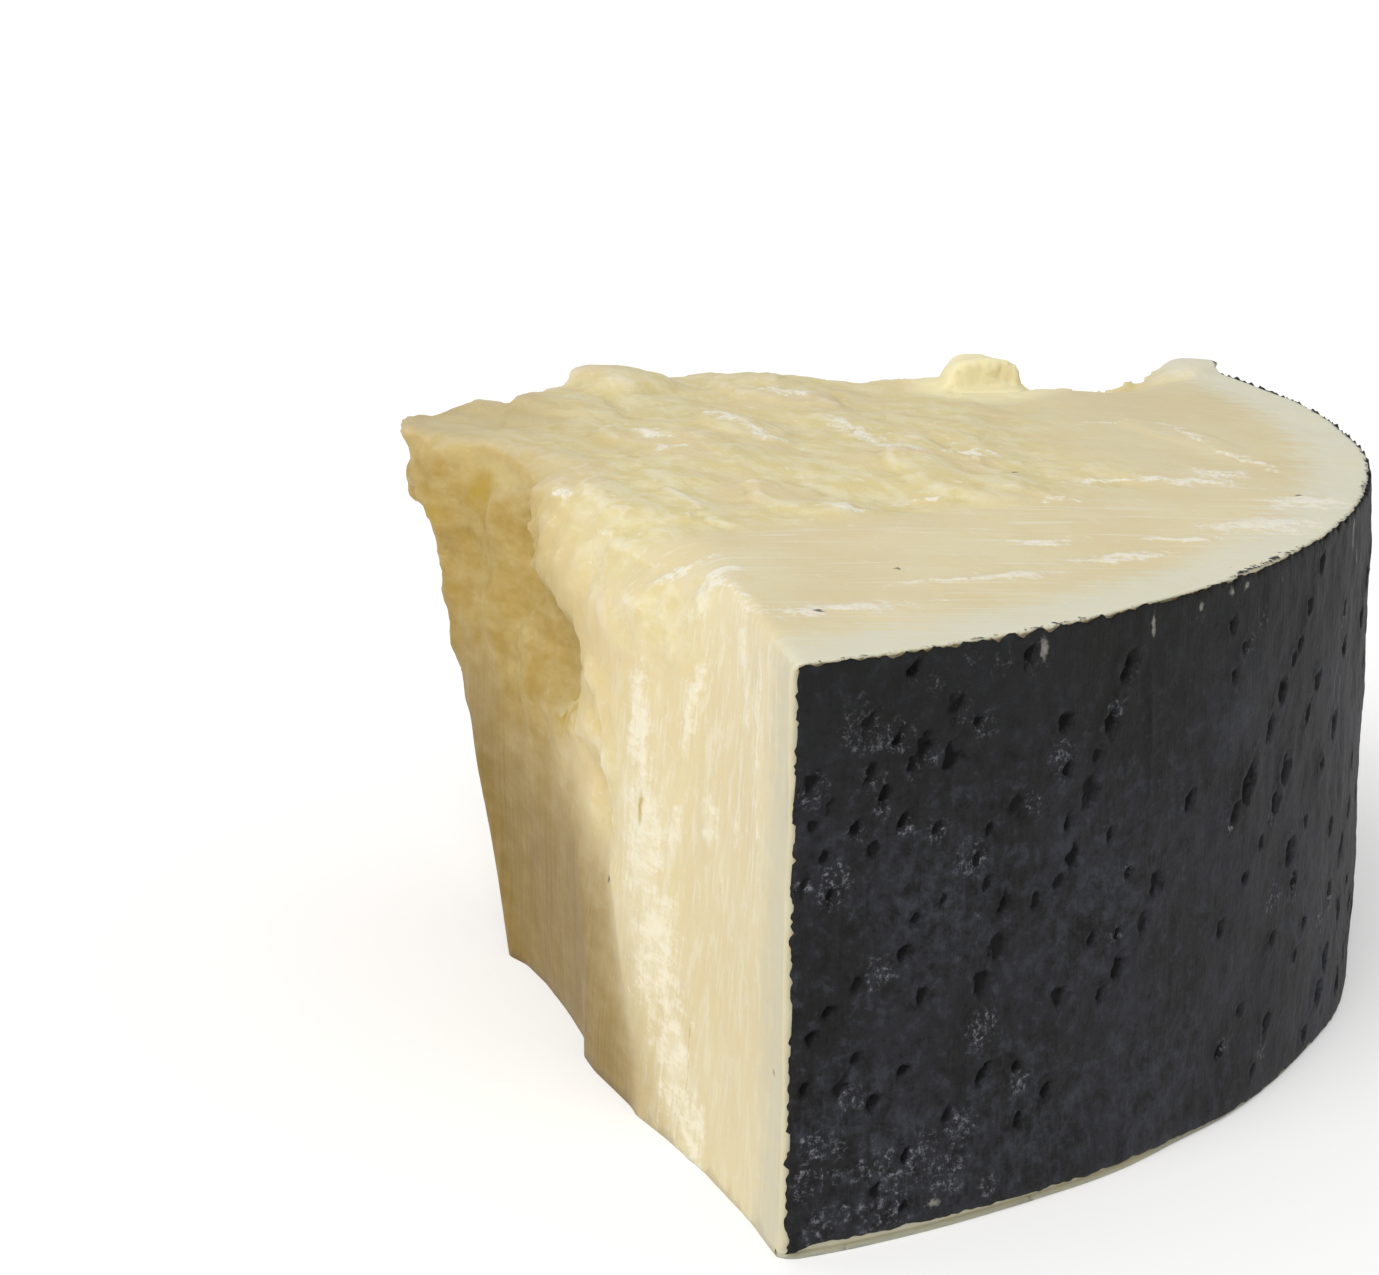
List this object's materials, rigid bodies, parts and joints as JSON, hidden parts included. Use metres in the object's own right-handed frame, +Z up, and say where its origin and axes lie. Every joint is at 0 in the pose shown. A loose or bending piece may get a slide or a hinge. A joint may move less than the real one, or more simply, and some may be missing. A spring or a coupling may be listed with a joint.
{
  "type": "pecorino romano chunk",
  "caption": "Quarter-wheel chunk of hard ewe's milk cheese, black rind on its round side, knife-cut top and near side, split craggy back.",
  "frame": {"origin": "centre of the bounding box at the flat base that the chunk stands on", "axes": "+Z up; +Y from the near rind corner towards the back, the longest extent; +X towards the round rind side"},
  "size_m": [0.1525, 0.2092, 0.0842],
  "materials": {
    "paste": "satin, waxy ivory cheese paste, broken and lumpy where it was split",
    "rind": "matte black coated rind, pitted, with a bluish-grey bloom"
  },
  "bodies": {
    "root": {"pecorino_chunk": "paste"}
  },
  "joints": []
}
